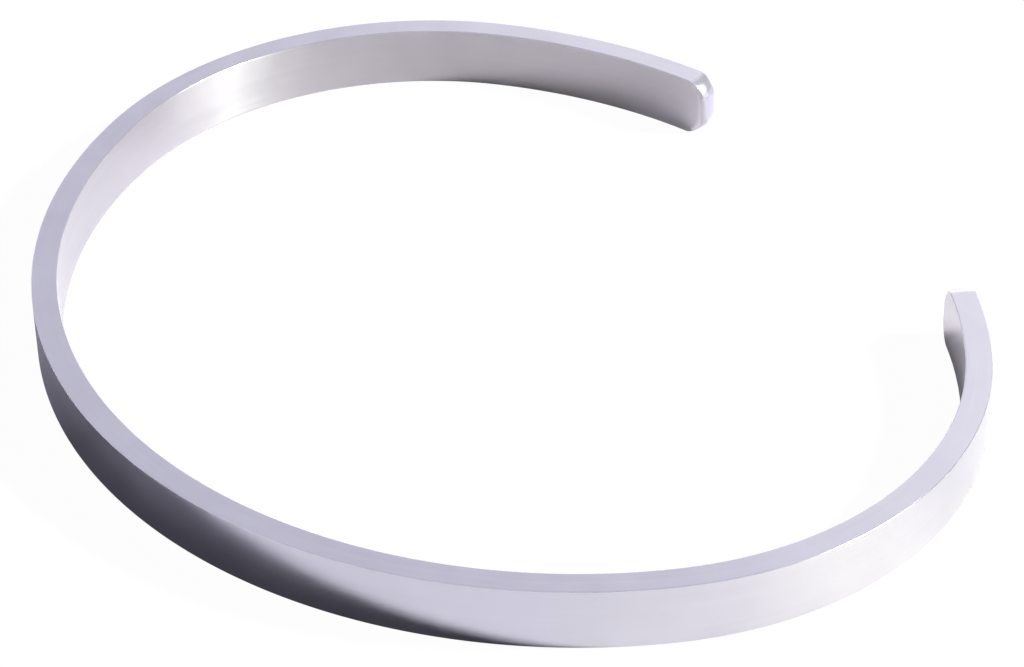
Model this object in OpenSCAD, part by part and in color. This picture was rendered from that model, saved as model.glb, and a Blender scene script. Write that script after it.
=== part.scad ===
// Open cuff bangle: one flat metal bar, bent edge-up to an oval and left open at the front.
// It lies on its side, on the bar's lower edge face. +Z is up, the longer way across the oval
// is along X, and the gap that lets a wrist in faces +Y.

/* [Bar] */
// Width of the bar, which is the height of the bangle as it lies
bar_w = 4; // [3:0.1:8]
// Thickness of the bar, from the inner face to the outer face
bar_t = 1.6; // [1.2:0.1:2.4]
// Radius that breaks the four long edges of the bar
edge_r = 0.15; // [0.05:0.05:0.4]

/* [Tips] */
// Radius of the upper and lower corner of each tip, seen from the side of the bar
tip_corner_r = 1.45; // [0.5:0.05:1.45]
// Width of the chamfer on the inner and outer edge of each tip's end face
tip_chamfer = 0.25; // [0.1:0.05:0.4]

/* [Oval] */
// Radius of the bar's centre line across the back and along the two front arms
flat_r = 33; // [28:0.5:40]
// Radius of the bar's centre line round the two narrow sides
side_r = 22; // [18:0.5:26]
// Turn of the bar across the back, in degrees
back_turn = 126; // [110:1:130]
// Turn of the bar round each side, in degrees
side_turn = 76.5; // [70:0.5:80]

/* [Gap] */
// Turn of the shorter front arm, on the +X side, in degrees
short_arm_turn = 14; // [6:0.5:20]
// Turn of the longer front arm, on the -X side, in degrees
long_arm_turn = 28; // [20:0.5:32]

/* [Hidden] */
$fn = 240;
steel = [0.78, 0.77, 0.83];
// How far a cutter reaches past the faces that it cuts
past = 1;
// A coordinate is placed as whole steps of this size and a remainder
whole_step = 0.01;

// A place on the bar is given by its heading: the way that the centre line runs there, in degrees from
// +X. It is 0 at the middle of the back and grows towards the tip of the arm on the +X side.
side_from = back_turn / 2;
side_to = side_from + side_turn;
short_tip = side_to + short_arm_turn;
long_tip = side_to + long_arm_turn;

// Unit vector that points out of the oval at a heading
function outwards(heading) = [sin(heading), -cos(heading)];

// Centres of the bends on the +X side, with the middle of the back's centre line at the origin
back_centre = [0, flat_r];
side_centre = back_centre + (flat_r - side_r) * outwards(side_from);
front_centre = side_centre - (flat_r - side_r) * outwards(side_to);

// The outer face of the back and the outer edge of the longer arm's tip bound the oval along Y
back_y = -bar_t / 2;
front_y = front_centre.y + (flat_r + bar_t / 2) * outwards(long_tip).y - tip_chamfer * sin(long_tip);
middle_y = (back_y + front_y) / 2;

// Moves its children by v in whole steps and then by what is left, so that bends whose places are
// kept to a few digits still meet face to face
module place(v) {
    whole = [for (c = v) round(c / whole_step) * whole_step];
    translate(whole) translate(v - whole) children();
}

// Cross-section of the bar, standing on its edge: thickness along X, width along Y
module bar_section() {
    translate([-bar_t / 2 + edge_r, 0]) square([bar_t - 2 * edge_r, bar_w]);
    translate([-bar_t / 2, edge_r]) square([bar_t, bar_w - 2 * edge_r]);
    for (x = [-1, 1], y = [edge_r, bar_w - edge_r])
        translate([x * (bar_t / 2 - edge_r), y]) circle(edge_r);
}

// A bend of the bar round a centre, between two headings
module bend(centre, r, from, to) {
    place([centre.x, centre.y, 0])
        rotate_extrude(angle = to - from, start = from - 90) translate([r, 0]) bar_section();
}

// What is cut from a front arm's square end to round and chamfer its tip. The end face is at X = 0,
// the arm runs away towards -X, and the bar's middle is at Y = 0.
module tip_waste() {
    span = bar_t + 2 * past;
    for (up = [0, 1])
        translate([-tip_corner_r, span / 2, up * bar_w]) mirror([0, 0, up])
            rotate([90, 0, 0]) linear_extrude(span) difference() {
                translate([0, -past]) square([tip_corner_r + past, tip_corner_r + past]);
                translate([0, tip_corner_r]) circle(tip_corner_r);
            }
    for (side = [-1, 1])
        translate([0, side * bar_t / 2, -past]) mirror([0, side < 0 ? 1 : 0, 0])
            linear_extrude(bar_w + 2 * past)
                polygon([[-tip_chamfer - past, past], [past, -tip_chamfer - past], [past, past]]);
}

// A front arm on the +X side, from the end of the side to its tip
module front_arm(tip) {
    difference() {
        bend(front_centre, flat_r, side_to, tip);
        place([front_centre.x, front_centre.y, 0]) rotate(tip) translate([0, -flat_r, 0]) tip_waste();
    }
}

// The whole bar: the back, the two sides and the two front arms, in one piece
module band() {
    color(steel) translate([0, -middle_y, 0]) {
        bend(back_centre, flat_r, -side_from, side_from);
        bend(side_centre, side_r, side_from, side_to);
        front_arm(short_tip);
        mirror([1, 0, 0]) {
            bend(side_centre, side_r, side_from, side_to);
            front_arm(long_tip);
        }
    }
}

band();
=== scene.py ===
from math import pi, radians

import bpy
import numpy as np
from bpy.props import FloatProperty, FloatVectorProperty, IntProperty, PointerProperty
from mathutils import Matrix, Vector


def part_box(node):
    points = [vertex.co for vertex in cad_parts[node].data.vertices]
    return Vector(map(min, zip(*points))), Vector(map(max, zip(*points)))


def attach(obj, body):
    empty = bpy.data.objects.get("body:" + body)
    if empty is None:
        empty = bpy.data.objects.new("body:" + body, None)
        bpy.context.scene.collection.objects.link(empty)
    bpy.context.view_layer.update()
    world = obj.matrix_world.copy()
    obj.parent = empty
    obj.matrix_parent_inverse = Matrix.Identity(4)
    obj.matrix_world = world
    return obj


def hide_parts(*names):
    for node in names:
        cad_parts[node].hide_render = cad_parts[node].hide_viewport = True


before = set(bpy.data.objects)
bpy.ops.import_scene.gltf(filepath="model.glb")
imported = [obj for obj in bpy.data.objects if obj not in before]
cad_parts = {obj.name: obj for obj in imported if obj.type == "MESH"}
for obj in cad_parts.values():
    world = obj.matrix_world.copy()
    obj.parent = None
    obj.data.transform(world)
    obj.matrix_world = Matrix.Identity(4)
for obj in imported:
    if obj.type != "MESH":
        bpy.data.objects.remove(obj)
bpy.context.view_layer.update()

bl_info = {
    "name": "Open cuff bangle",
    "version": (1, 0, 0),
    "blender": (4, 5, 0),
    "location": "3D View > Sidebar > Bangle",
    "description": "Makes an open cuff bangle of brushed steel and the studio that it lies in",
    "category": "Add Mesh",
}

BAND_LOW, BAND_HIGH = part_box("band")
MM = 0.001

# Rows of the bar's mesh: on a wall as shares of its half width, and on an edge face as shares of the
# way from the outer wall to the inner. The rows beside an edge keep its shading narrow.
WALL_ROWS = (1, 0.96, 0.5, 0, -0.5, -0.96, -1)
FACE_ROWS = (0.04, 0.2, 0.4, 0.6, 0.8, 0.96)
# Where a tip starts on the rim, as a share of its full rounding
TIP_STARTS = 0.02
# Bar widths between the parts of the UV map, so that their brush lines differ
GRAIN_APART = 3


class BarSizes(bpy.types.PropertyGroup):
    """Sizes of the flat bar and of the oval that it is bent to"""

    width: FloatProperty(
        name="Bar width", description="Height of the bangle as it lies on its side",
        default=BAND_HIGH.z - BAND_LOW.z, min=1 * MM, unit="LENGTH")
    thickness: FloatProperty(
        name="Bar thickness", description="From the inner face to the outer face",
        default=1.6 * MM, min=0.5 * MM, unit="LENGTH")
    edge_radius: FloatProperty(
        name="Edge radius", description="Rounding of the four long edges",
        default=0.06 * MM, min=0.02 * MM, unit="LENGTH")
    tip_outer_radius: FloatProperty(
        name="Tip outer radius", description="Rounding of the outer edge round each tip",
        default=0.12 * MM, min=0.02 * MM, unit="LENGTH")
    tip_inner_radius: FloatProperty(
        name="Tip inner radius",
        description="Rounding of the inner edge round each tip, soft against the wrist",
        default=0.3 * MM, min=0.02 * MM, unit="LENGTH")
    tip_corner_radius: FloatProperty(
        name="Tip corner radius", description="Rounding of each tip seen from the side of the bar",
        default=1.45 * MM, min=0.1 * MM, unit="LENGTH")
    tip_crown_radius: FloatProperty(
        name="Tip crown radius", description="Radius of the dome across each tip's end face",
        default=2.1 * MM, min=1 * MM, unit="LENGTH")
    tip_crown_shift: FloatProperty(
        name="Tip crown shift",
        description="How far the dome's top lies from the middle, towards the inner wall",
        default=0.15 * MM, min=0, unit="LENGTH")
    flat_radius: FloatProperty(
        name="Flat radius",
        description="Radius of the centre line across the back and along the front arms",
        default=33 * MM, min=10 * MM, unit="LENGTH")
    side_radius: FloatProperty(
        name="Side radius", description="Radius of the centre line round the two narrow sides",
        default=22 * MM, min=10 * MM, unit="LENGTH")
    back_turn: FloatProperty(
        name="Turn of the back", description="Angle that the bar turns across the back",
        default=radians(126), subtype="ANGLE", unit="ROTATION")
    side_turn: FloatProperty(
        name="Turn of a side", description="Angle that the bar turns round each side",
        default=radians(76.5), subtype="ANGLE", unit="ROTATION")
    short_arm_turn: FloatProperty(
        name="Turn of the short arm",
        description="Angle that the bar turns along the arm on the +X side",
        default=radians(14), subtype="ANGLE", unit="ROTATION")
    long_arm_turn: FloatProperty(
        name="Turn of the long arm",
        description="Angle that the bar turns along the arm on the -X side",
        default=radians(28), subtype="ANGLE", unit="ROTATION")
    station_step: FloatProperty(
        name="Station step", description="Distance between the mesh's stations along the bar",
        default=0.3 * MM, min=0.05 * MM, unit="LENGTH")
    corner_steps: IntProperty(
        name="Corner steps", description="Stations round each corner of a tip", default=24, min=4)
    edge_steps: IntProperty(
        name="Edge steps", description="Rows of faces across a rounded edge", default=6, min=2)


class SteelFinish(bpy.types.PropertyGroup):
    """Colour and surface of the brushed steel"""

    colour: FloatVectorProperty(
        name="Colour", description="Reflectance of the steel", subtype="COLOR", size=3,
        default=(0.62, 0.6, 0.71), min=0, max=1)
    roughness: FloatProperty(
        name="Roughness", description="Roughness of the outer wall and the edge faces",
        default=0.21, min=0, max=1, subtype="FACTOR")
    inner_colour: FloatVectorProperty(
        name="Inner colour", description="Reflectance of the inner wall", subtype="COLOR", size=3,
        default=(0.495, 0.461, 0.512), min=0, max=1)
    inner_roughness: FloatProperty(
        name="Inner roughness",
        description="Roughness of the inner wall, which is brushed and not polished",
        default=0.38, min=0, max=1, subtype="FACTOR")
    inner_anisotropy: FloatProperty(
        name="Inner anisotropy", description="How far the brush lines spread light across them",
        default=0.8, min=0, max=1, subtype="FACTOR")
    brush_depth: FloatProperty(
        name="Brush depth", description="Depth of the fine brush lines",
        default=0.0006 * MM, min=0, unit="LENGTH", precision=7)
    mottle: FloatProperty(
        name="Mottle", description="How far the tone wanders in soft patches",
        default=0.03, min=0, max=1, subtype="FACTOR")


class StudioSetup(bpy.types.PropertyGroup):
    """Camera, floor and light"""

    camera_aim: FloatVectorProperty(
        name="Camera aim", description="Point on the camera's axis, level with the middle of the bar",
        default=(3.187 * MM, -0.205 * MM, 2 * MM), size=3, subtype="TRANSLATION", unit="LENGTH")
    camera_distance: FloatProperty(
        name="Camera distance", description="From the aim to the camera",
        default=201.516 * MM, min=0.05, unit="LENGTH")
    camera_azimuth: FloatProperty(
        name="Camera azimuth",
        description="Turn of the camera about the bangle, from behind it towards +X",
        default=radians(53.9675), subtype="ANGLE", unit="ROTATION")
    camera_elevation: FloatProperty(
        name="Camera elevation", description="Height of the camera above the horizon",
        default=radians(35.618), subtype="ANGLE", unit="ROTATION")
    camera_roll: FloatProperty(
        name="Camera roll", description="Turn of the camera about its own axis",
        default=radians(-0.692), subtype="ANGLE", unit="ROTATION")
    camera_lens: FloatProperty(
        name="Camera lens", description="Focal length on a sensor 36 mm wide", default=115.92, min=10)
    key_place: FloatVectorProperty(
        name="Key place", description="Place of the key light, a disc that looks at the bangle",
        default=(222 * MM, 281 * MM, 261 * MM), size=3, subtype="TRANSLATION", unit="LENGTH")
    key_size: FloatProperty(
        name="Key size", description="Width of the key light",
        default=58 * MM, min=0.001, unit="LENGTH")
    key_power: FloatProperty(
        name="Key power", description="Power of the key light, in watts",
        default=3.4, min=0, unit="POWER")
    key_shine: FloatProperty(
        name="Key shine", description="Share of the key light that shines in the steel too",
        default=0.35, min=0, max=1, subtype="FACTOR")
    softbox_place: FloatVectorProperty(
        name="Softbox place", description="Place of the softbox, a tall oval that looks at the bangle",
        default=(403 * MM, 301 * MM, 327 * MM), size=3, subtype="TRANSLATION", unit="LENGTH")
    softbox_width: FloatProperty(
        name="Softbox width", description="Width of the softbox",
        default=70 * MM, min=0.001, unit="LENGTH")
    softbox_height: FloatProperty(
        name="Softbox height", description="Height of the softbox",
        default=200 * MM, min=0.001, unit="LENGTH")
    softbox_power: FloatProperty(
        name="Softbox power", description="Power of the softbox, in watts",
        default=5.1, min=0, unit="POWER")
    softbox_colour: FloatVectorProperty(
        name="Softbox colour", description="Colour of the softbox", subtype="COLOR", size=3,
        default=(1, 1.13, 0.9), min=0)
    # Painted light: glowing strips on the floor beside the bar, which stand for the light that the steel
    # and the room throw there
    painted_light_strength: FloatProperty(
        name="Thrown light", description="Strength of the light on the floor beside the bar",
        default=1, min=0)
    painted_light_reach: FloatProperty(
        name="Thrown reach", description="How far from the bar that light reaches",
        default=10 * MM, min=0.001, unit="LENGTH")
    floor_size: FloatProperty(
        name="Floor size", description="Width of the pale floor", default=6, min=0.2, unit="LENGTH")


def bar_heading(along, sizes):
    """Heading of the bar at distances along its centre line, 0 at the middle of the back.

    The line is made of arcs that meet smoothly, so the heading grows by distance over radius in each:
    half the back, a side and a front arm, and the same the other way.
    """
    turns = np.array([sizes.back_turn / 2, sizes.side_turn, sizes.long_arm_turn])
    radii = np.array([sizes.flat_radius, sizes.side_radius, sizes.flat_radius])
    headings = np.concatenate([[0], np.cumsum(turns)])
    distances = np.concatenate([[0], np.cumsum(turns * radii)])
    return np.sign(along) * np.interp(np.abs(along), distances, headings)


def bar_length(arm_turn, sizes):
    """Length of the centre line from the middle of the back to the tip of an arm."""
    return (sizes.back_turn / 2 + arm_turn) * sizes.flat_radius + sizes.side_turn * sizes.side_radius


def outwards(heading):
    """Unit vectors in the plan that point out of the oval: (sin h, -cos h)."""
    return np.stack([np.sin(heading), -np.cos(heading)], -1)


def plan_point(heading, off, sizes):
    """Point in the plan at a heading and a distance off the centre line.

    It is the arc's centre plus (radius + off) times the outward vector. The centres of the side and of
    the front arm follow from the back's by the difference of the radii, and are mirrored on the -X side.
    """
    side_from = sizes.back_turn / 2
    side_to = side_from + sizes.side_turn
    step = sizes.flat_radius - sizes.side_radius
    back_centre = np.array([0, sizes.flat_radius])
    side_centre = back_centre + step * outwards(side_from)
    front_centre = side_centre - step * outwards(side_to)
    turned = np.abs(heading)[..., None]
    past_back = np.where(turned < side_to, side_centre, front_centre)
    centre = np.where(turned < side_from, back_centre, past_back)
    centre = centre * np.stack([np.sign(heading), np.ones_like(heading)], -1)
    on_side = (np.abs(heading) >= side_from) & (np.abs(heading) < side_to)
    radius = np.where(on_side, sizes.side_radius, sizes.flat_radius)
    return centre + (radius + off)[..., None] * outwards(heading)


def side_outline(sizes, rows):
    """Outline of the bar unrolled flat, seen from its side: a long rectangle with round corners.

    It goes along the upper edge from the long arm's tip to the short arm's, down the tip, back along
    the lower edge and up the first tip. A corner's points are its centre plus radius times the
    outward vector, which turns from straight up to straight along the bar in even steps.
    Returns distances along the bar, heights from the bar's middle, outward vectors, and the number
    of stations along one edge.
    """
    radius = sizes.tip_corner_radius
    half = sizes.width / 2
    start = -bar_length(sizes.long_arm_turn, sizes)
    end = bar_length(sizes.short_arm_turn, sizes)
    count = int(round((end - start - 2 * radius) / sizes.station_step))
    straight = np.linspace(start + radius, end - radius, count)
    turn = np.linspace(0, pi / 2, sizes.corner_steps + 1)[1:]
    lean = np.concatenate([-turn[::-1], np.zeros(count), turn])
    centre = np.concatenate([
        np.full(len(turn), start + radius), straight, np.full(len(turn), end - radius)])
    out_along, out_up = np.sin(lean), np.cos(lean)
    along = centre + radius * out_along
    height = (half - radius) + radius * out_up
    drop = np.linspace(1, -1, rows)[1:-1] * (half - radius)
    ones = np.ones_like(drop)
    along = np.concatenate([along, end * ones, along[::-1], start * ones])
    height = np.concatenate([height, drop, -height[::-1], -drop])
    out_along = np.concatenate([out_along, ones, out_along[::-1], -ones])
    out_up = np.concatenate([out_up, 0 * ones, -out_up[::-1], 0 * ones])
    return along, height, np.stack([out_along, out_up], -1), len(lean)


def rim_profile(sizes, tip_share):
    """Profile across the bar's edge face, from the outer wall to the inner wall, at each outline point.

    The edge's rounding is a quarter circle at each wall, of a radius that grows from the long edges to
    the tips. Between them the face is flat on the long edges and a shallow dome on the tips, which
    falls by the square of the distance from its top over twice the crown radius. Returns, for each
    profile row and outline point, the distance off the centre line, how far the surface lies inside
    the outline, and how much of the inner wall's finish it has.
    """
    half = sizes.thickness / 2
    outer_radius = sizes.edge_radius + (sizes.tip_outer_radius - sizes.edge_radius) * tip_share
    inner_radius = sizes.edge_radius + (sizes.tip_inner_radius - sizes.edge_radius) * tip_share
    quarter = np.linspace(0, pi / 2, sizes.edge_steps + 1)[:, None]
    outer_off = half - outer_radius * (1 - np.cos(quarter))
    inner_off = -half + inner_radius * (1 - np.cos(quarter[::-1]))
    across = np.array(FACE_ROWS)[:, None]
    flat_off = outer_off[-1] + across * (inner_off[0] - outer_off[-1])
    off = np.concatenate([outer_off, flat_off, inner_off])
    inset = np.concatenate([
        outer_radius * (1 - np.sin(quarter)), 0 * flat_off, inner_radius * (1 - np.sin(quarter[::-1]))])
    inset = inset + tip_share * (off + sizes.tip_crown_shift) ** 2 / (2 * sizes.tip_crown_radius)
    # The inner finish begins on the inner rounding, and on the tips it begins on the face before it
    inner = tip_share * np.concatenate([0 * quarter, across ** 2 / 2, 0.5 + quarter / pi])
    inner = inner + (1 - tip_share) * np.concatenate([0 * quarter, 0 * across, quarter * 2 / pi])
    return off, inset, inner


def grid_faces(index):
    """Quads between the neighbouring rows and columns of a table of vertex numbers."""
    return np.stack([index[:-1, :-1], index[1:, :-1], index[1:, 1:], index[:-1, 1:]], -1).reshape(-1, 4)


def fill_mesh(mesh, points, quads, grain, shares):
    """Puts arrays of points and quads into a mesh, with a UV map along the bar and named attributes."""
    mesh.vertices.add(len(points))
    mesh.vertices.foreach_set("co", points.astype(np.float32).ravel())
    mesh.loops.add(quads.size)
    mesh.loops.foreach_set("vertex_index", quads.astype(np.int32).ravel())
    mesh.polygons.add(len(quads))
    mesh.polygons.foreach_set("loop_start", np.arange(0, quads.size, 4, dtype=np.int32))
    mesh.update(calc_edges=True)
    mesh.uv_layers.new(name="grain").data.foreach_set("uv", grain.astype(np.float32).ravel())
    for name, share in shares.items():
        mesh.attributes.new(name, "FLOAT", "POINT").data.foreach_set("value", share.astype(np.float32))
    mesh.shade_smooth()


def band_mesh(sizes):
    """The whole bar as one closed surface.

    In the unrolled side view the bar is an outline filled by a grid of stations and rows, once for
    the outer wall and once for the inner. The rim joins them: each outline point carries the rim
    profile, drawn in from the outline by its inset along the outline's outward vector. The bend then
    takes distance along to heading, and distance off to distance from the arc's centre.
    """
    rows = np.array(WALL_ROWS)
    along, height, out, stations = side_outline(sizes, len(rows))
    # Smoothly 0 on the long edges and 1 on the end face, so that a wall's border never turns back
    facing = np.abs(out[:, 0])
    tip_share = facing ** 2 * (3 - 2 * facing)
    off, inset, inner = rim_profile(sizes, tip_share)
    rim_along = along - inset * out[:, 0]
    rim_up = height - inset * out[:, 1]
    end_rows = len(rows) - 2

    half = sizes.thickness / 2
    # Each wall ends at its own side of the rim, and the outline's straight ends share the walls' rows
    outer_along = np.broadcast_to(rim_along[0, :stations], (len(rows), stations))
    inner_along = np.broadcast_to(rim_along[-1, :stations], (len(rows), stations))
    outer_up = rows[:, None] * rim_up[0, :stations]
    inner_up = rows[:, None] * rim_up[-1, :stations]
    end_height = rows[1:-1] * rim_up[0, stations - 1]
    rim_up[:, stations:stations + end_rows] = end_height
    rim_up[:, -end_rows:] = -end_height

    loop = len(along)
    wall_count = outer_along.size
    outer_index = np.arange(wall_count).reshape(outer_along.shape)
    inner_index = outer_index + wall_count
    middle = np.arange((len(off) - 2) * loop).reshape(-1, loop) + 2 * wall_count

    def border(index):
        """Vertex numbers round a wall's grid, in the outline's order"""
        return np.concatenate([index[0], index[1:-1, -1], index[-1, ::-1], index[-2:0:-1, 0]])

    rim_index = np.concatenate([border(outer_index)[None], middle, border(inner_index)[None]])
    rim_index = np.concatenate([rim_index, rim_index[:, :1]], 1)

    all_along = np.concatenate([outer_along.ravel(), inner_along.ravel(), rim_along[1:-1].ravel()])
    all_up = np.concatenate([outer_up.ravel(), inner_up.ravel(), rim_up[1:-1].ravel()])
    all_off = np.concatenate([np.full(wall_count, half), np.full(wall_count, -half), off[1:-1].ravel()])
    heading = bar_heading(all_along, sizes)
    plan = plan_point(heading, all_off, sizes)
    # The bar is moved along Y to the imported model's place
    plan[:, 1] += BAND_LOW.y - plan[:, 1].min()
    points = np.concatenate([plan, all_up[:, None] + sizes.width / 2], 1)

    outer_quads = grid_faces(outer_index)
    inner_quads = grid_faces(inner_index)[:, ::-1]
    rim_quads = grid_faces(rim_index)[:, ::-1]
    quads = np.concatenate([outer_quads, inner_quads, rim_quads])

    step = np.hypot(np.diff(along, append=along[0]), np.diff(height, append=height[0]))
    girth = np.concatenate([[0], np.cumsum(step)])
    apart = GRAIN_APART * sizes.width
    rim_off = np.concatenate([off, off[:, :1]], 1)
    rim_grain = np.stack(np.broadcast_arrays(girth, rim_off + apart), -1)
    wall_grain = np.stack([all_along, all_up], -1)
    inner_grain = wall_grain + [0, 2 * apart]
    corners = [rim_grain[:-1, :-1], rim_grain[1:, :-1], rim_grain[1:, 1:], rim_grain[:-1, 1:]]
    rim_corners = np.stack(corners, -2).reshape(-1, 4, 2)[:, ::-1]
    grain = np.concatenate([wall_grain[outer_quads], inner_grain[inner_quads], rim_corners])

    # The wear of the edges is half a sine wave across each rounding
    edge = np.zeros(len(points))
    on_edge = np.zeros((len(off), 1))
    on_edge[:sizes.edge_steps + 1] = np.sin(np.linspace(0, pi, sizes.edge_steps + 1))[:, None]
    on_edge[-sizes.edge_steps - 1:] = on_edge[:sizes.edge_steps + 1]
    edge[2 * wall_count:] = np.broadcast_to(on_edge, off.shape)[1:-1].ravel()

    inner = np.concatenate([np.zeros(wall_count), np.ones(wall_count), inner[1:-1].ravel()])

    mesh = bpy.data.meshes.new("bar")
    fill_mesh(mesh, points, quads, grain, {"edge": edge, "inner": inner})
    # The second material is the inner wall's, and goes on round its long edges
    inside = np.zeros(len(quads), np.int32)
    inside[len(outer_quads):len(outer_quads) + len(inner_quads)] = 1
    inside[len(quads) - sizes.edge_steps * loop:] = np.tile(tip_share < TIP_STARTS, sizes.edge_steps)
    mesh.polygons.foreach_set("material_index", inside)
    return mesh


class Nodes:
    """Short way to write a node tree"""

    def __init__(self, tree):
        tree.nodes.clear()
        self.tree = tree

    def add(self, kind, inputs=None, **settings):
        """Adds a node; inputs are numbers, colours or sockets, by name or place"""
        node = self.tree.nodes.new(kind)
        for name, value in settings.items():
            setattr(node, name, value)
        for name, value in (inputs or {}).items():
            if isinstance(value, bpy.types.NodeSocket):
                self.tree.links.new(value, node.inputs[name])
            else:
                node.inputs[name].default_value = value
        return node

    def maths(self, operation, *values):
        """Result of a maths node"""
        inputs = dict(enumerate(values))
        return self.add("ShaderNodeMath", inputs, operation=operation).outputs[0]

    def spread(self, value, low, high, to_low=0.0, to_high=1.0, smooth=False):
        """Value taken from one range to another, and held at its ends"""
        kind = "SMOOTHSTEP" if smooth else "LINEAR"
        inputs = {"Value": value, "From Min": low, "From Max": high, "To Min": to_low, "To Max": to_high}
        return self.add("ShaderNodeMapRange", inputs, interpolation_type=kind).outputs["Result"]

    def blend(self, factor, first, second):
        """Colour between two colours, through a Mix node's colour sockets"""
        node = self.add("ShaderNodeMix", data_type="RGBA")
        self.tree.links.new(factor, node.inputs[0])
        node.inputs[6].default_value = (*first, 1)
        node.inputs[7].default_value = (*second, 1)
        return node.outputs[2]

    def noise(self, vector, scale, detail=2.0, roughness=0.5):
        """Noise from 0 to 1"""
        inputs = {"Vector": vector, "Scale": scale, "Detail": detail, "Roughness": roughness}
        return self.add("ShaderNodeTexNoise", inputs).outputs["Fac"]

    def sway(self, noise, reach):
        """Noise, which seldom leaves 0.3 to 0.7, taken to minus and plus its reach"""
        return self.spread(noise, 0.3, 0.7, -reach, reach)


# Noise of the fine and the coarse brush lines: its scale along and across the bar, per metre
FINE_SCALE = (220, 9000, 1)
COARSE_SCALE = (60, 2600, 1)
# Tone and height of the coarse lines, where the patches' tone and the fine lines' height are 1
COARSE_TONE = 0.5
COARSE_HEIGHT = 0.6
# Scale of the soft patches, per metre
PATCH_SCALE = 260.0
# How far the roughness wanders with the fine lines and with the patches
FINE_ROUGHNESS = 0.03
PATCH_ROUGHNESS = 0.015
# How much smoother the worn edges are
EDGE_WEAR = 0.06


def steel(name, anisotropy, finish):
    """Satin steel: fine brush lines along the bar, soft patches, and edges worn smoother.

    The lines are noise stretched along the bar's UV map, in which both directions are metres. They
    spread light across themselves, a quarter turn from the bar's length. The colour and the roughness
    go over to the inner wall's where the surface turns inwards.
    """
    material = bpy.data.materials.new(name)
    material.use_nodes = True
    nodes = Nodes(material.node_tree)
    along_bar = nodes.add("ShaderNodeUVMap", uv_map="grain").outputs["UV"]
    place = nodes.add("ShaderNodeTexCoord").outputs["Object"]
    edge = nodes.add("ShaderNodeAttribute", attribute_name="edge").outputs["Fac"]
    inner = nodes.add("ShaderNodeAttribute", attribute_name="inner").outputs["Fac"]

    stretched = nodes.add("ShaderNodeMapping", {"Vector": along_bar, "Scale": FINE_SCALE})
    fine = nodes.noise(stretched.outputs["Vector"], 1.0, detail=3.0, roughness=0.6)
    stretched = nodes.add("ShaderNodeMapping", {"Vector": along_bar, "Scale": COARSE_SCALE})
    coarse = nodes.noise(stretched.outputs["Vector"], 1.0, detail=2.0)
    patches = nodes.noise(place, PATCH_SCALE, detail=3.0)

    tone = nodes.maths("ADD", nodes.sway(patches, 1), nodes.sway(coarse, COARSE_TONE))
    value = nodes.maths("MULTIPLY_ADD", tone, finish.mottle, 1.0)
    colour = nodes.blend(inner, finish.colour, finish.inner_colour)
    shade = nodes.add("ShaderNodeHueSaturation", {"Color": colour, "Value": value})

    rough = nodes.spread(inner, 0.0, 1.0, finish.roughness, finish.inner_roughness)
    rough = nodes.maths("ADD", rough, nodes.sway(fine, FINE_ROUGHNESS))
    rough = nodes.maths("ADD", rough, nodes.sway(patches, PATCH_ROUGHNESS))
    rough = nodes.maths("SUBTRACT", rough, nodes.maths("MULTIPLY", edge, EDGE_WEAR))
    height = nodes.maths("ADD", fine, nodes.maths("MULTIPLY", coarse, COARSE_HEIGHT))
    bump = nodes.add("ShaderNodeBump", {
        "Strength": 1.0, "Distance": finish.brush_depth, "Height": height})

    tangent = nodes.add("ShaderNodeTangent", direction_type="UV_MAP", uv_map="grain")
    shader = nodes.add("ShaderNodeBsdfPrincipled", {
        "Base Color": shade.outputs["Color"], "Metallic": 1.0, "Roughness": rough,
        "Normal": bump.outputs["Normal"], "Anisotropic": anisotropy, "Anisotropic Rotation": 0.25,
        "Tangent": tangent.outputs["Tangent"]})
    nodes.add("ShaderNodeOutputMaterial", {"Surface": shader.outputs["BSDF"]})
    return material


class BANGLE_OT_make_bar(bpy.types.Operator):
    """Make the bar of the bangle in brushed steel"""

    bl_idname = "bangle.make_bar"
    bl_label = "Make the bar"

    def execute(self, context):
        scene = context.scene
        mesh = band_mesh(scene.bangle_sizes)
        finish = scene.bangle_finish
        mesh.materials.append(steel("satin steel", 0.0, finish))
        mesh.materials.append(steel("brushed steel", finish.inner_anisotropy, finish))
        bar = bpy.data.objects.new("bar", mesh)
        scene.collection.objects.link(bar)
        # The floor gets no light from the steel; the stage's glowing strips paint the light that the
        # steel throws on it
        bar.visible_diffuse = False
        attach(bar, "root")
        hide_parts("band")
        return {"FINISHED"}


def camera_matrix(setup):
    """Place and turn of the camera: it looks at its aim from an azimuth and an elevation, then rolls."""
    azimuth, elevation, roll = setup.camera_azimuth, setup.camera_elevation, setup.camera_roll
    level = np.array([np.sin(azimuth), -np.cos(azimuth), 0]) * np.cos(elevation)
    back = level + [0, 0, np.sin(elevation)]
    level_right = np.array([np.cos(azimuth), np.sin(azimuth), 0])
    level_up = np.cross(back, level_right)
    right = level_right * np.cos(roll) + level_up * np.sin(roll)
    up = np.cross(back, right)
    matrix = np.eye(4)
    matrix[:3, :3] = np.stack([right, up, back], 1)
    matrix[:3, 3] = np.array(setup.camera_aim) + back * setup.camera_distance
    return Matrix(matrix.tolist())


# Width of the camera's sensor, in millimetres
SENSOR_WIDTH = 36


def add_camera(setup):
    """The camera at the photograph's angle"""
    data = bpy.data.cameras.new("camera")
    data.sensor_width = SENSOR_WIDTH
    data.lens = setup.camera_lens
    data.clip_start = 1 * MM
    data.clip_end = 20
    camera = bpy.data.objects.new("camera", data)
    camera.matrix_world = camera_matrix(setup)
    bpy.context.scene.collection.objects.link(camera)
    bpy.context.scene.camera = camera


def add_plane(name, size, material):
    """A square floor at the height that the bar lies on"""
    half = size / 2
    mesh = bpy.data.meshes.new(name)
    corners = [(-half, -half, 0), (half, -half, 0), (half, half, 0), (-half, half, 0)]
    mesh.from_pydata(corners, [], [(0, 1, 2, 3)])
    mesh.materials.append(material)
    plane = bpy.data.objects.new(name, mesh)
    bpy.context.scene.collection.objects.link(plane)
    return plane


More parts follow.
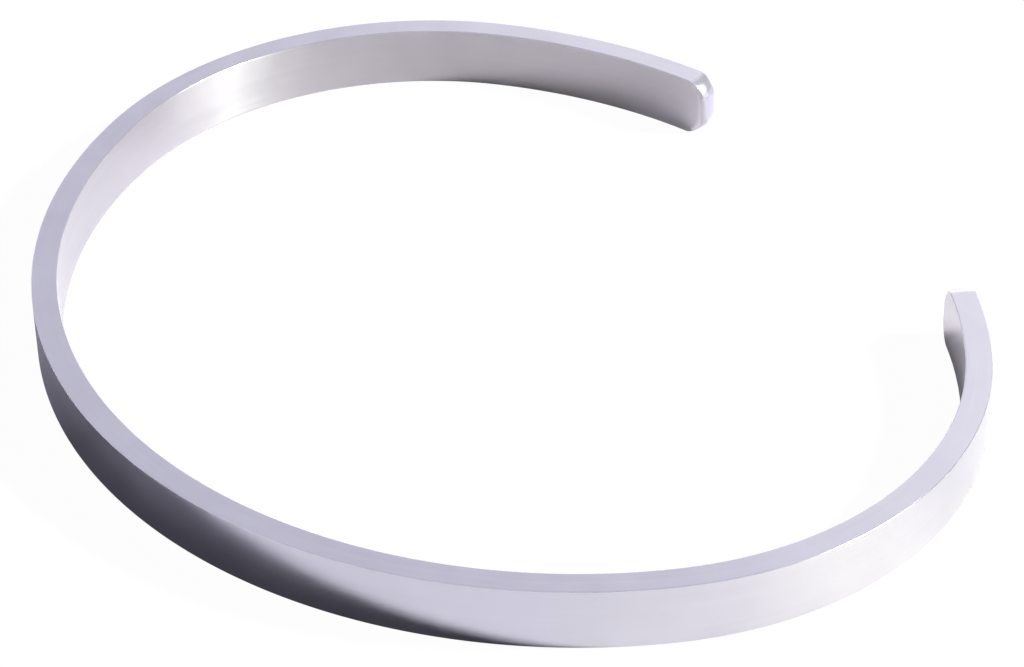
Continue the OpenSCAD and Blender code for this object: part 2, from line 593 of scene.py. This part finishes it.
def floor_material(name, albedo, glow):
    """Matt paint, which may glow so that shadows on it stay faint"""
    material = bpy.data.materials.new(name)
    material.use_nodes = True
    nodes = Nodes(material.node_tree)
    shader = nodes.add("ShaderNodeBsdfPrincipled", {
        "Base Color": (albedo, albedo, albedo, 1), "Roughness": 0.9, "Specular IOR Level": 0.0,
        "Emission Color": (1, 1, 1, 1), "Emission Strength": glow})
    nodes.add("ShaderNodeOutputMaterial", {"Surface": shader.outputs["BSDF"]})
    return material


# Reflectance and glow of the floor that the camera sees and of the one that the steel mirrors
SEEN_FLOOR = (0.04, 0.98)
MIRRORED_FLOOR = (0.9, 0.0)


def add_floor(setup):
    """A pale floor that the camera sees, and the same floor as the steel sees it in its reflections"""
    seen = add_plane("floor", setup.floor_size, floor_material("pale floor", *SEEN_FLOOR))
    lit = floor_material("lit floor", *MIRRORED_FLOOR)
    mirrored = add_plane("floor_mirrored", setup.floor_size, lit)
    seen.visible_diffuse = seen.visible_glossy = seen.visible_shadow = False
    mirrored.visible_camera = mirrored.visible_shadow = False


# Painted light on the floor beside the bar, standing for the light that the steel and the room throw
# there:
# headings in degrees, and its strength close to the bar, where 1 is white
PAINTED_LIGHT_LEFT = (
    (-190, -165, -160, -40, -10, 20, 50),
    (0.35, 0.3, 0.0, 0.3, 0.07, 0.05, 0.05))
PAINTED_LIGHT_RIGHT = (
    (50, 70, 90, 100, 120, 156),
    (0.05, 0.15, 0.4, 0.43, 0.15, 0.05))
PAINTED_LIGHT_INSIDE = (
    (-168, -160, -154, -130, -110, -80, -70, -60, -30, 20, 120, 154, 158, 176),
    (0.2, 0.2, 0.05, 0.0, 0.2, 0.36, 0.7, 0.75, 0.7, 0.0, 0.0, 0.05, 0.5, 0.5))
# In the shade along the front, the painted light grows stronger away from the bar: how much at which
# headings, and the distances from the bar between which it comes up
FRONT_PAINTED_FILL = ((-40, -30, 10, 40), (0.0, 0.08, 0.08, 0.0))
FRONT_RISE = (0.8 * MM, 3.3 * MM)
# A strip's step along the bar in degrees, its columns of points and its height above the floor
STRIP_STEP = 2.0
STRIP_COLUMNS = 13
STRIP_HEIGHT = 0.01 * MM


def painted_light_strip(name, sizes, setup, side, table):
    """A strip of floor along one side of the bar and past its tips, with its painted glow as a point
    attribute.

    Its points are the bar's plan at distances off the centre line, so it bends with the bar: outwards
    where side is 1, and inwards where it is -1. The glow is the table's at each heading, and fades out
    over the last third of the reach.
    """
    heading = np.arange(table[0][0], table[0][-1] + 1, STRIP_STEP)
    share = np.linspace(0, 1, STRIP_COLUMNS)
    off = side * (sizes.thickness / 2 + share * setup.painted_light_reach)
    turns = np.broadcast_to(np.radians(heading)[:, None], (len(heading), len(share)))
    plan = plan_point(turns, np.broadcast_to(off, turns.shape), sizes).reshape(-1, 2)
    # The bar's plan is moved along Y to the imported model's place
    foot = plan_point(np.radians([0.0]), np.array([sizes.thickness / 2]), sizes)[0, 1]
    plan[:, 1] += BAND_LOW.y - foot
    strength = np.interp(heading, *table)[:, None] * np.ones_like(share)
    # More painted light in the shade along the front, growing away from the bar
    if side > 0:
        shaded = np.interp(heading, *FRONT_PAINTED_FILL)[:, None]
        strength = strength + shaded * np.interp(share * setup.painted_light_reach, FRONT_RISE, (0, 1))
    strength = strength * np.clip((1 - share) * 3, 0, 1)
    mesh = bpy.data.meshes.new(name)
    index = np.arange(turns.size).reshape(turns.shape)
    points = np.column_stack([plan, np.full(len(plan), STRIP_HEIGHT)])
    mesh.from_pydata(points.tolist(), [], grid_faces(index).tolist())
    glow = mesh.attributes.new("glow", "FLOAT", "POINT")
    glow.data.foreach_set("value", strength.astype(np.float32).ravel())
    return mesh


def painted_light_material(name, colour, setup):
    """Clear, but glowing by the strip's attribute: painted light on the floor, not a lamp"""
    material = bpy.data.materials.new(name)
    material.use_nodes = True
    nodes = Nodes(material.node_tree)
    glow = nodes.add("ShaderNodeAttribute", attribute_name="glow").outputs["Fac"]
    light = nodes.add("ShaderNodeEmission", {
        "Color": (*colour, 1), "Strength": nodes.maths("MULTIPLY", glow, setup.painted_light_strength)})
    clear = nodes.add("ShaderNodeBsdfTransparent")
    both = nodes.add("ShaderNodeAddShader", {0: light.outputs[0], 1: clear.outputs[0]})
    nodes.add("ShaderNodeOutputMaterial", {"Surface": both.outputs[0]})
    return material


def add_painted_light(sizes, setup):
    """Painted light on the floor inside and outside the bar: glowing strips, which only the steel's
    reflections show
    """
    # Each strip's painted light has its own tint: cool inside and on the left, warm on the right
    for name, side, table, colour in (
            ("painted_floor_inside", -1, PAINTED_LIGHT_INSIDE, (1, 1.04, 1.12)),
            ("painted_floor_left", 1, PAINTED_LIGHT_LEFT, (0.96, 0.92, 1.12)),
            ("painted_floor_right", 1, PAINTED_LIGHT_RIGHT, (1.04, 1.06, 0.6))):
        mesh = painted_light_strip(name, sizes, setup, side, table)
        mesh.materials.append(painted_light_material(name, colour, setup))
        strip = bpy.data.objects.new(name, mesh)
        bpy.context.scene.collection.objects.link(strip)
        strip.visible_camera = strip.visible_diffuse = strip.visible_shadow = False


def add_lamp(name, place, power, width, height, colour=(1, 1, 1)):
    """An oval lamp that stands at a place and looks at the bangle; the camera doesn't see it"""
    data = bpy.data.lights.new(name, "AREA")
    data.energy = power
    data.color = colour
    data.shape = "ELLIPSE"
    data.size = width
    data.size_y = height
    lamp = bpy.data.objects.new(name, data)
    lamp.location = place
    lamp.rotation_mode = "QUATERNION"
    lamp.rotation_quaternion = Vector(place).to_track_quat("Z", "Y")
    lamp.visible_camera = False
    bpy.context.scene.collection.objects.link(lamp)
    return lamp


def add_lights(setup):
    """A key light, part of which lights the floor alone, and a softbox that shines in the steel alone"""
    shine = setup.key_power * setup.key_shine
    add_lamp("key", setup.key_place, shine, setup.key_size, setup.key_size)
    wash = add_lamp("wash", setup.key_place, setup.key_power - shine, setup.key_size, setup.key_size)
    wash.visible_glossy = False
    softbox = add_lamp(
        "softbox", setup.softbox_place, setup.softbox_power, setup.softbox_width, setup.softbox_height,
        setup.softbox_colour)
    softbox.visible_diffuse = False


# The room's dimmer upper left goes over to the rest between two values of how far a direction points
# low right, and each has its own tint
UPPER_LEFT_ENDS = (-0.37, -0.22)
UPPER_LEFT_TINT = (0.97, 0.98, 1.03)
REST_TINT = (1.03, 1.04, 1.01)
# Strength of the room's even light behind the camera
BEHIND = 0.85


def add_surroundings(setup):
    """Soft light from all round: bright beyond the bangle, and dimmer behind the camera.

    Each part is smoothed between two values of how far a direction points towards a side, which is
    the dot product of the direction and that side's unit vector.
    """
    world = bpy.data.worlds.new("studio")
    bpy.context.scene.world = world
    world.use_nodes = True
    # The room shines in the steel and doesn't light the floor
    world.cycles_visibility.diffuse = False
    nodes = Nodes(world.node_tree)
    way = nodes.add("ShaderNodeTexCoord").outputs["Generated"]

    def towards(turn, elevation):
        """How far a direction points towards a side, turned right from straight ahead, and a height"""
        side = setup.camera_azimuth + pi / 2 - turn
        level = np.cos(elevation)
        unit = (np.cos(side) * level, np.sin(side) * level, np.sin(elevation))
        dot = nodes.add("ShaderNodeVectorMath", {0: way, 1: unit}, operation="DOT_PRODUCT")
        return dot.outputs["Value"]

    ahead = towards(0, 0)
    right = towards(pi / 2, 0)
    low_right = towards(pi / 2, radians(-35))
    up = towards(0, pi / 2)
    # Ahead, the room is dimmer at the upper left and on the far right, and bright along the horizon
    wall = nodes.spread(low_right, *UPPER_LEFT_ENDS, 0.79, 1.2, smooth=True)
    wall = nodes.maths("MULTIPLY", wall, nodes.spread(right, 0.2, 0.6, 1.0, 0.6, smooth=True))
    horizon = nodes.spread(up, 0.0, 0.45, 1.5, 0.0, smooth=True)
    horizon = nodes.maths("MULTIPLY", horizon, nodes.spread(ahead, 0.5, 0.95))
    backdrop = nodes.maths("ADD", wall, horizon)
    ahead_share = nodes.spread(ahead, -0.6, 0.35, smooth=True)
    strength = nodes.maths("MULTIPLY", ahead_share, nodes.maths("SUBTRACT", backdrop, BEHIND))
    strength = nodes.maths("ADD", strength, BEHIND)
    tint = nodes.blend(
        nodes.spread(low_right, *UPPER_LEFT_ENDS, smooth=True), UPPER_LEFT_TINT, REST_TINT)
    background = nodes.add("ShaderNodeBackground", {"Color": tint, "Strength": strength})
    plain = nodes.add("ShaderNodeBackground", {"Color": (1, 1, 1, 1), "Strength": 1.0})
    from_camera = nodes.add("ShaderNodeLightPath").outputs["Is Camera Ray"]
    both = nodes.add("ShaderNodeMixShader", {
        0: from_camera, 1: background.outputs[0], 2: plain.outputs[0]})
    nodes.add("ShaderNodeOutputWorld", {"Surface": both.outputs[0]})


class BANGLE_OT_set_stage(bpy.types.Operator):
    """Set the floor, the light and the camera"""

    bl_idname = "bangle.set_stage"
    bl_label = "Set the stage"

    def execute(self, context):
        setup = context.scene.bangle_studio
        add_floor(setup)
        add_painted_light(context.scene.bangle_sizes, setup)
        add_lights(setup)
        add_surroundings(setup)
        add_camera(setup)
        context.scene.view_settings.view_transform = "Standard"
        return {"FINISHED"}


class BANGLE_PT_sidebar(bpy.types.Panel):
    """The bangle's sizes, finish and stage"""

    bl_label = "Open cuff bangle"
    bl_space_type = "VIEW_3D"
    bl_region_type = "UI"
    bl_category = "Bangle"

    def draw(self, context):
        layout = self.layout
        for group, operator in (
                (context.scene.bangle_sizes, None),
                (context.scene.bangle_finish, BANGLE_OT_make_bar.bl_idname),
                (context.scene.bangle_studio, BANGLE_OT_set_stage.bl_idname)):
            column = layout.column()
            for name in group.__annotations__:
                column.prop(group, name)
            if operator:
                layout.operator(operator)


CLASSES = (
    BarSizes,
    SteelFinish,
    StudioSetup,
    BANGLE_OT_make_bar,
    BANGLE_OT_set_stage,
    BANGLE_PT_sidebar,
)


def register():
    for cls in CLASSES:
        bpy.utils.register_class(cls)
    bpy.types.Scene.bangle_sizes = PointerProperty(type=BarSizes)
    bpy.types.Scene.bangle_finish = PointerProperty(type=SteelFinish)
    bpy.types.Scene.bangle_studio = PointerProperty(type=StudioSetup)


def unregister():
    del bpy.types.Scene.bangle_studio
    del bpy.types.Scene.bangle_finish
    del bpy.types.Scene.bangle_sizes
    for cls in reversed(CLASSES):
        bpy.utils.unregister_class(cls)


def main():
    register()
    bpy.ops.bangle.make_bar()
    bpy.ops.bangle.set_stage()


if __name__ == "__main__":
    main()
